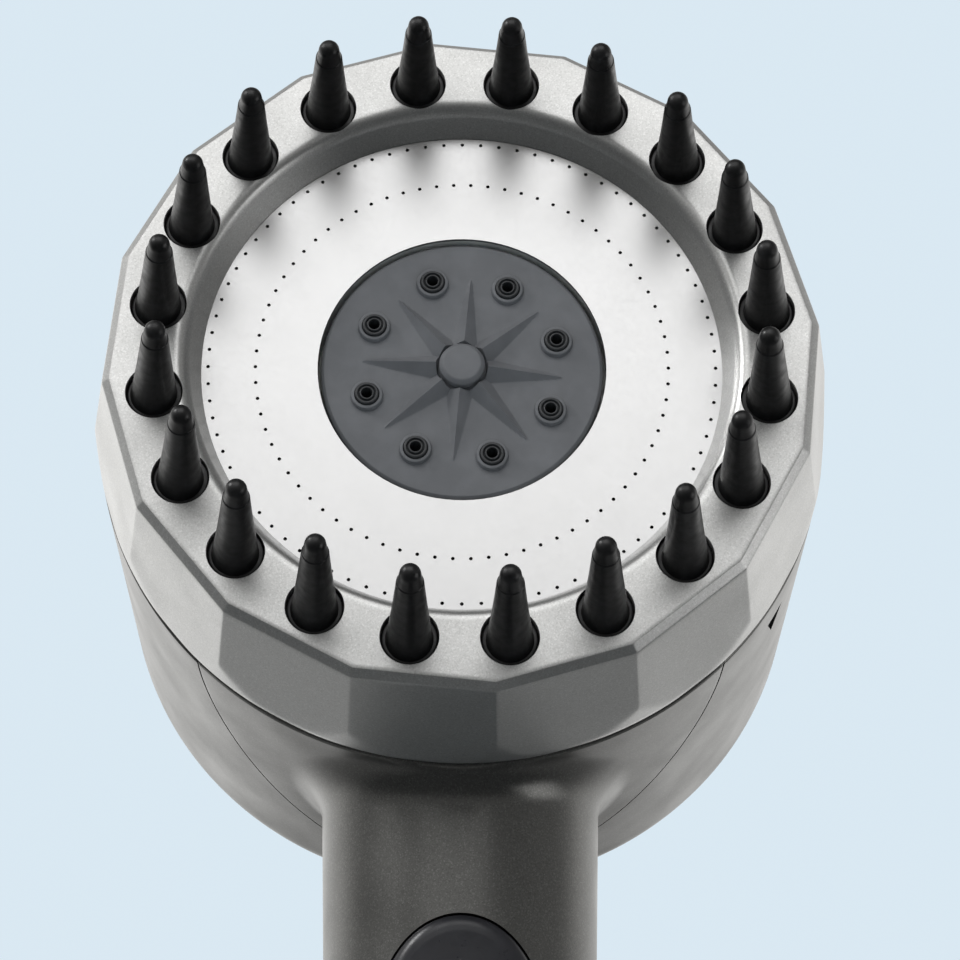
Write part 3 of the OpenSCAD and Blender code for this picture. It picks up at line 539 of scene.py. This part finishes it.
def make_nozzle_disc():
    columns = 8 * 48
    angles = STAR_TURN + np.arange(columns) * 2 * math.pi / columns
    bevel = 0.4
    rows = []
    for r in np.concatenate([np.linspace(0.01, 14, 90), np.linspace(14.4, DISC_R - bevel - 0.15, 6)]):
        x, y = r * np.cos(angles), r * np.sin(angles)
        seat = 0.55 * np.clip((CAP_R - 0.2 - r) / 0.2, 0, 1)
        groove = np.clip((r - CAP_R - 0.15) / 0.25, 0, 1)
        rows.append((r, DISC_FRONT + np.maximum(star_height(x, y) * groove, seat)))
    rim = round_path([(DISC_R - bevel - 0.1, DISC_FRONT), (DISC_R - bevel, DISC_FRONT, 0.09),
                      (DISC_R, DISC_FRONT - bevel, 0.2), (DISC_R, DISC_BACK, 0.1), (0.01, DISC_BACK)],
                     4, closed=False)
    rows += [(r, np.full(columns, h)) for r, h in rim[1:]]
    verts = [on_head(r * math.cos(a), r * math.sin(a), h) for r, hs in rows for a, h in zip(angles, hs)]
    disc = finish_mesh("nozzle_disc_relief", verts, grid_faces(len(rows), columns, True), 22)

    spots = [(NOZZLE_CIRCLE_R * math.cos(a), NOZZLE_CIRCLE_R * math.sin(a))
             for a in NOZZLE_TURN + np.arange(NOZZLES) * 2 * math.pi / NOZZLES]
    collar_low, collar_top = DISC_FRONT - 0.6, DISC_FRONT + 0.7
    for collar, operation in (([(0, collar_low), (2.1, collar_low), (2.1, DISC_FRONT, 0.1),
                                (1.98, collar_top, 0.18), (0, collar_top)], "UNION"),
                              ([(0, DISC_BACK - 1), (1.6, DISC_BACK - 1), (1.6, collar_top - 0.1),
                                (1.68, collar_top + 1.3), (0, collar_top + 1.3)], "DIFFERENCE")):
        verts, faces = [], []
        for spot in spots:
            more, quads = lathe_parts(round_path(collar), on_head, spot, 64, len(verts))
            verts += more
            faces += quads
        cut(disc, finish_mesh("collars", verts, faces), operation, 22)
    dress(disc, "face_dial", MATERIALS["slate"], "slate", "nozzle_disc")

    sheet = DISC_BACK - 0.05
    verts, faces = lathe_parts([(PAD_HOLE_R, PAD_BACK), (DISC_R - 0.7, PAD_BACK), (DISC_R - 0.7, sheet),
                                (PAD_HOLE_R, sheet)])
    top = PAD_FRONT
    nozzle = round_path([(0.7, PAD_BACK), (1.5, PAD_BACK), (1.5, top - 0.05, 0.2), (1.15, top - 0.05, 0.1),
                         (1.1, top - 0.4, 0.1), (0.95, top - 0.4, 0.1), (0.9, top, 0.08), (0.7, top, 0.08)])
    for spot in spots:
        more, quads = lathe_parts(nozzle, on_head, spot, 48, len(verts))
        verts += more
        faces += quads
    dress(finish_mesh("nozzle_pad_soft", verts, faces), "face_dial", NOZZLE_RUBBER, "silicone", "nozzle_pad")

    cap = [(0, CAP_BACK), (CAP_R - 0.85, CAP_BACK), (CAP_R - 0.85, DISC_FRONT + 0.62),
           (CAP_R, DISC_FRONT + 0.62), (CAP_R, CAP_FRONT - 0.5, 0.15), (CAP_R - 0.5, CAP_FRONT, 0.2),
           (0, CAP_FRONT)]
    dress(lathe("centre_cap_round", round_path(cap), sharp=40), "face_dial", MATERIALS["slate"], "slate",
          "centre_cap")


# ------------------------------------------------------------------ barrel and handle
def barrel_under(x, inset=0.0):
    """Height of the barrel's underside at a distance x from the middle."""
    return HEAD_Z - math.sqrt((SEAM_R - inset) ** 2 - x * x)


def handle_radius(z):
    return HANDLE_END_R + (NECK_R - HANDLE_END_R) * (z - HANDLE_BASE) / (HEAD_Z - SEAM_R - HANDLE_BASE)


def saddle_prism_place(u, v, z):
    """Plan view of the barrel from below: u to the right, v back from the seam."""
    return (u, PLATE_Y - BARREL_FRONT + v, z)


def make_barrel():
    rim = 0.5
    back = BARREL_BACK
    wall = BARREL_WALL
    r = SEAM_R
    outline = [(r - wall, BARREL_FRONT), (r - rim, BARREL_FRONT, 0.08), (r, BARREL_FRONT - rim, 0.12)]
    for h in np.linspace(BARREL_FRONT - 2, back + BARREL_ROUND + 1, 40):
        outline.append((r, h))
    for t in np.linspace(0, math.pi / 2, 14):
        outline.append((r - BARREL_ROUND + BARREL_ROUND * math.cos(t),
                        back + BARREL_ROUND - BARREL_ROUND * math.sin(t)))
    outline += [(r * 0.8, back), (r * 0.5, back), (0, back), (0, back + wall),
                (r - wall - BARREL_ROUND + 2.6, back + wall, 2.0), (r - wall, back + BARREL_ROUND, 2.0)]
    barrel = lathe("barrel_casing", round_path(outline), segments=512, sharp=32)
    cutter = ellipse_prism("saddle_cut", SADDLE_HALF + 0.1, SADDLE_LEN + 0.1, saddle_prism_place,
                           HEAD_Z - SEAM_R - 5, HEAD_Z - 5)
    cut(barrel, cutter, sharp=32)

    depth_r = SEAM_R - INDEX_DEPTH
    front = BARREL_FRONT - 8
    outer = SEAM_R + 4
    side = Matrix.Rotation(INDEX_TURN, 3, "Z")
    verts = []
    for radius in (depth_r, outer):
        for v, h in ((-INDEX_W / 2, front), (0, front - INDEX_L), (INDEX_W / 2, front)):
            verts.append(on_head(*(side @ Vector((radius, v, 0)))[:2], h))
    wedge = [(0, 1, 2), (5, 4, 3), (0, 3, 4, 1), (1, 4, 5, 2), (2, 5, 3, 0)]
    cut(barrel, finish_mesh("index_cut", verts, wedge), sharp=32)
    return dress(barrel, "handle", MATERIALS["gunmetal"], "gunmetal", "barrel_shell")


def saddle_edge(angle):
    """Distance from the handle's axis to the saddle's edge, and the width and depth of its chamfer."""
    c, s = math.cos(angle), math.sin(angle)
    y0 = PLATE_Y - BARREL_FRONT
    a, b = SADDLE_HALF - 0.05, SADDLE_LEN - 0.05
    p, q, w = (c / a) ** 2 + (s / b) ** 2, -s * y0 / b ** 2, (y0 / b) ** 2 - 1
    oval = (-q + math.sqrt(q * q - p * w)) / p
    if s < 0 and y0 / s < oval:
        return y0 / s, 0.5 / -s, 0.5
    return oval, 0.16, 0.12


def handle_profile(angle):
    """Section of the handle moulding along one ray from the handle's axis, as (distance, z)."""
    c = math.cos(angle)
    reach, edge_w, edge_d = saddle_edge(angle)
    root = barrel_under(NECK_R * c) - NECK_ROUND
    foot = handle_radius(root)

    def surface(q):
        share = min(1.0, max(0.0, (q - foot) / NECK_ROUND))
        return barrel_under(q * c) - NECK_ROUND * (1 - math.sqrt(1 - (1 - share) ** 2))

    path = [(BORE_R, HANDLE_BASE), (HANDLE_END_R - 0.5, HANDLE_BASE),
            (HANDLE_END_R - 0.15, HANDLE_BASE + 0.12), (HANDLE_END_R + 0.01, HANDLE_BASE + 0.5)]
    path += [(handle_radius(z), z) for z in np.linspace(HANDLE_BASE + 2, root - 0.4, 120)]
    fillet_end = min(foot + NECK_ROUND, reach - edge_w)
    for k in range(17):
        q = foot + (1 - math.cos(math.pi / 2 * k / 16)) * (fillet_end - foot)
        path.append((q, surface(q)))
    for q in np.linspace(fillet_end, reach - edge_w, 28)[1:]:
        path.append((q, surface(q)))
    path += [(reach - edge_w * 0.3, surface(reach - edge_w * 0.3) + edge_d * 0.3),
             (reach, surface(reach) + edge_d), (reach, barrel_under(reach * c, BARREL_WALL * 0.9))]
    for q in np.linspace(reach, NECK_BORE_R, 9):
        path.append((q, barrel_under(q * c, BARREL_WALL)))
    return path + [(NECK_BORE_R, BUTTON_Z + 20), (BORE_R, BUTTON_Z + 20)]


def make_handle():
    corner = math.atan2(PLATE_Y - BARREL_FRONT, SADDLE_HALF - 0.05)
    angles = sorted(set(np.linspace(-math.pi, math.pi, 480, endpoint=False)) | {corner, -math.pi - corner})
    sections = [handle_profile(a) for a in angles]
    verts = [(section[i][0] * math.cos(a), section[i][0] * math.sin(a), section[i][1])
             for i in range(len(sections[0])) for section, a in zip(sections, angles)]
    handle = finish_mesh("handle_casing", verts, grid_faces(len(sections[0]), len(angles), True), 32)
    window = ellipse_prism("window", BUTTON_A + BUTTON_GAP, BUTTON_B + BUTTON_GAP,
                           lambda u, v, depth: (u, -depth, BUTTON_Z + v), BORE_R / 2, NECK_R + 8)
    cut(handle, window, sharp=32)
    return dress(handle, "handle", MATERIALS["gunmetal"], "gunmetal", "handle_shell")


# ------------------------------------------------------------------ stop button
def drop_distance(x, z):
    """Signed distance to a water-drop outline, negative inside."""
    r, peak = 2.6, 7.0
    z = z + peak / 6
    circle = np.hypot(x, z) - r
    t = math.asin(r / peak)
    normal = (math.cos(t), math.sin(t))
    sides = np.abs(x) * normal[0] + z * normal[1] - r
    cone = np.maximum(sides, r * math.sin(t) - z)
    return np.minimum(circle, cone)


def make_button():
    columns = 320
    angles = np.arange(columns) * 2 * math.pi / columns
    face_r = float(handle_radius(BUTTON_Z)) + BUTTON_PROUD
    back_r = face_r - BUTTON_T
    rows = []
    for s in np.concatenate([np.linspace(0.002, 0.72, 90), np.linspace(0.74, 1, 22)]):
        x, z = BUTTON_A * s * np.cos(angles), BUTTON_B * s * np.sin(angles)
        inset = (1 - s) * BUTTON_A
        fall = 0.9 * (1 - math.sqrt(max(0.0, 1 - max(0.0, 1 - inset / 1.3) ** 2)))
        relief = 0.32 * np.clip(-drop_distance(x, z) / 0.35 + 0.5, 0, 1)
        dish = 0.5 * np.clip(1 - (s / 0.82) ** 2, 0, 1)
        rows.append((x, -(np.sqrt(face_r ** 2 - x ** 2) - fall - dish) - relief, z))
    edge = rows[-1]
    for t in (0.5, 1.0):
        back = -np.sqrt(back_r ** 2 - edge[0] ** 2)
        rows.append((edge[0], edge[1] + (back - edge[1]) * t, edge[2]))
    for s in (0.7, 0.4, 0.002):
        x, z = BUTTON_A * s * np.cos(angles), BUTTON_B * s * np.sin(angles)
        rows.append((x, -np.sqrt(back_r ** 2 - x ** 2), z))
    verts = [(x, y, z + BUTTON_Z) for xs, ys, zs in rows for x, y, z in zip(xs, ys, zs)]
    faces = grid_faces(len(rows), columns, True)
    stem_r = 3.6
    stem = round_path([(0, 10.6), (stem_r, 10.6, 0.3), (stem_r, back_r - 0.3), (0, back_r - 0.3)])
    more, quads = lathe_parts(stem, lambda x, z, depth: (x, -depth, BUTTON_Z + z), start=len(verts))
    button = finish_mesh("stop_button_cap", verts + more, faces + quads, 40)
    return dress(button, "button", MATERIALS["black_plastic"], "black_plastic", "stop_button")


# ------------------------------------------------------------------ hose connector
def make_connector():
    """Lower end with a rolled G 1/2 thread and a fluted collar."""
    pitch, depth = THREAD_PITCH, 1.1
    columns = 240
    angles = np.arange(columns) * 2 * math.pi / columns
    major = THREAD_R
    thread_len = THREAD_LEN
    collar_r = (connector_high[0] - connector_low[0]) / 2
    top = connector_high[2]
    rows = [(np.full(columns, INLET_BORE_R), 0.0), (np.full(columns, major - depth - 0.2), 0.0)]
    for z in np.linspace(0.15, thread_len - 0.6, 110):
        phase = (z / pitch - angles / (2 * math.pi)) % 1
        wave = 0.5 - 0.5 * np.cos(2 * math.pi * phase)
        start = min(1.0, z / 1.2, (thread_len - z) / 1.5)
        rows.append((major - depth + depth * wave ** 0.8 * start, z))
    rows.append((np.full(columns, major - depth), thread_len - 0.05))
    flute = 0.85 * np.clip(np.cos(12 * angles) * 1.6 - 0.5, 0, 1)
    collar = ((collar_r - 0.7, thread_len, 0), (collar_r - 0.15, thread_len + 0.35, 0.7),
              (collar_r, thread_len + 0.9, 1), (collar_r, HANDLE_BASE - 1.6, 1),
              (collar_r - 0.02, HANDLE_BASE - 1.1, 0.4), (collar_r - 0.05, HANDLE_BASE - 0.6, 0),
              (collar_r - 0.4, HANDLE_BASE - 0.05, 0))
    rows += [(r - flute * share, z) for r, z, share in collar]
    spigot = BORE_R - 0.1
    rows += [(np.full(columns, r), z) for r, z in ((spigot, HANDLE_BASE - 0.05), (spigot, top - 5.96),
                                                   (BORE_R - 1.7, top - 5.96), (BORE_R - 1.7, top - 4.04),
                                                   (spigot, top - 4.04), (spigot, top), (6.4, top),
                                                   (6.4, thread_len + 2), (INLET_BORE_R, thread_len + 2))]
    verts = [(r * math.cos(a), r * math.sin(a), z) for radii, z in rows for r, a in zip(radii, angles)]
    piece = finish_mesh("inlet_thread", verts, grid_faces(len(rows), columns, True), 40)
    return dress(piece, "handle", MATERIALS["gunmetal"], "gunmetal", "inlet_connector")


make_comb_ring()
make_comb()
make_nozzle_disc()
make_barrel()
make_handle()
make_button()
make_connector()
for piece in frame["nodes"].values():
    if len(piece.data.polygons):
        shade(piece, 30)


# ------------------------------------------------------------------ camera, floor and light
LENS, SENSOR_W = 121.9, 36
CAMERA_AT = Vector((-1.8, PLATE_Y - 372.15, HEAD_Z - 177.1))


def add_light(name, place, target, size, power, size_y=None):
    """Rectangular soft box at a place in metres, turned to face the target."""
    data = bpy.data.lights.new(name, "AREA")
    data.shape = "RECTANGLE"
    data.size = size
    data.size_y = size_y or size
    data.energy = power
    light = bpy.data.objects.new(name, data)
    bpy.context.scene.collection.objects.link(light)
    light.location = place
    light.rotation_euler = (Vector(target) - Vector(place)).to_track_quat("-Z", "Y").to_euler()


def add_camera():
    """Long lens in front of the handle, looking up at the face."""
    data = bpy.data.cameras.new("camera")
    camera = bpy.data.objects.new("camera", data)
    bpy.context.scene.collection.objects.link(camera)
    data.lens = LENS
    data.sensor_width = SENSOR_W
    data.clip_end = 20
    forward = Vector((0.010, 0.9173, 0.3982)).normalized()
    up = Vector((-0.003, -0.3982, 0.9173))
    right = forward.cross(up).normalized()
    up = right.cross(forward)
    turned = Matrix((right, up, -forward)).transposed().to_4x4()
    camera.matrix_world = Matrix.Translation(CAMERA_AT * MM) @ turned
    bpy.context.scene.camera = camera


def add_world():
    """Pale blue backdrop for the camera. For the light, bright round the back and dim elsewhere."""
    world = bpy.data.worlds.new("studio")
    bpy.context.scene.world = world
    world.use_nodes = True
    tree = world.node_tree
    tree.nodes.clear()
    out = tree.nodes.new("ShaderNodeOutputWorld")
    seen = tree.nodes.new("ShaderNodeBackground")
    seen.inputs["Color"].default_value = (0.7, 0.81, 0.89, 1)
    lit = tree.nodes.new("ShaderNodeBackground")
    lit.inputs["Color"].default_value = (1.0, 0.995, 0.98, 1)
    direction = tree.nodes.new("ShaderNodeSeparateXYZ")
    tree.links.new(tree.nodes.new("ShaderNodeTexCoord").outputs["Generated"], direction.inputs["Vector"])
    strength = None
    for axis, low, high, out_low, out_high in (("Z", -0.4, 0.05, 0.17, 1.0), ("Z", 0.45, 0.8, 1.0, 0.35),
                                               ("Y", 0.0, 0.5, 0.25, 1.0), ("X", -0.4, 0.5, 1.3, 1.1)):
        mapped = tree.nodes.new("ShaderNodeMapRange")
        mapped.interpolation_type = "SMOOTHSTEP"
        for key, value in zip(("From Min", "From Max", "To Min", "To Max"), (low, high, out_low, out_high)):
            mapped.inputs[key].default_value = value
        tree.links.new(direction.outputs[axis], mapped.inputs["Value"])
        if strength is None:
            strength = mapped.outputs["Result"]
            continue
        product = tree.nodes.new("ShaderNodeMath")
        product.operation = "MULTIPLY"
        tree.links.new(strength, product.inputs[0])
        tree.links.new(mapped.outputs["Result"], product.inputs[1])
        strength = product.outputs["Value"]
    tree.links.new(strength, lit.inputs["Strength"])
    path = tree.nodes.new("ShaderNodeLightPath")
    mix = tree.nodes.new("ShaderNodeMixShader")
    tree.links.new(path.outputs["Is Camera Ray"], mix.inputs["Fac"])
    tree.links.new(lit.outputs["Background"], mix.inputs[1])
    tree.links.new(seen.outputs["Background"], mix.inputs[2])
    tree.links.new(mix.outputs["Shader"], out.inputs["Surface"])


def add_floor():
    """Plain pale floor that reflections do not see."""
    size = 3.0
    corners = [(-size, -size, 0), (size, -size, 0), (size, size, 0), (-size, size, 0)]
    mesh = bpy.data.meshes.new("floor")
    mesh.from_pydata(corners, [], [(0, 1, 2, 3)])
    floor = bpy.data.objects.new("floor", mesh)
    bpy.context.scene.collection.objects.link(floor)
    floor.location.z = -0.0005
    floor.visible_glossy = False
    mesh.materials.append(Shader("floor", (0.72, 0.79, 0.84), 0.7).material)


add_camera()
add_world()
add_floor()
FACE = (0, PLATE_Y * MM, HEAD_Z * MM)
add_light("key", (-0.1, -1.05, 0.99), FACE, 1.3, 6.9, size_y=1.02)
add_light("upper_left", (-0.75, -0.35, 0.75), FACE, 0.25, 3.5)
add_light("low_right", (0.8, -0.2, -0.1), FACE, 0.5, 1.4)

bpy.context.scene.view_settings.view_transform = "Standard"
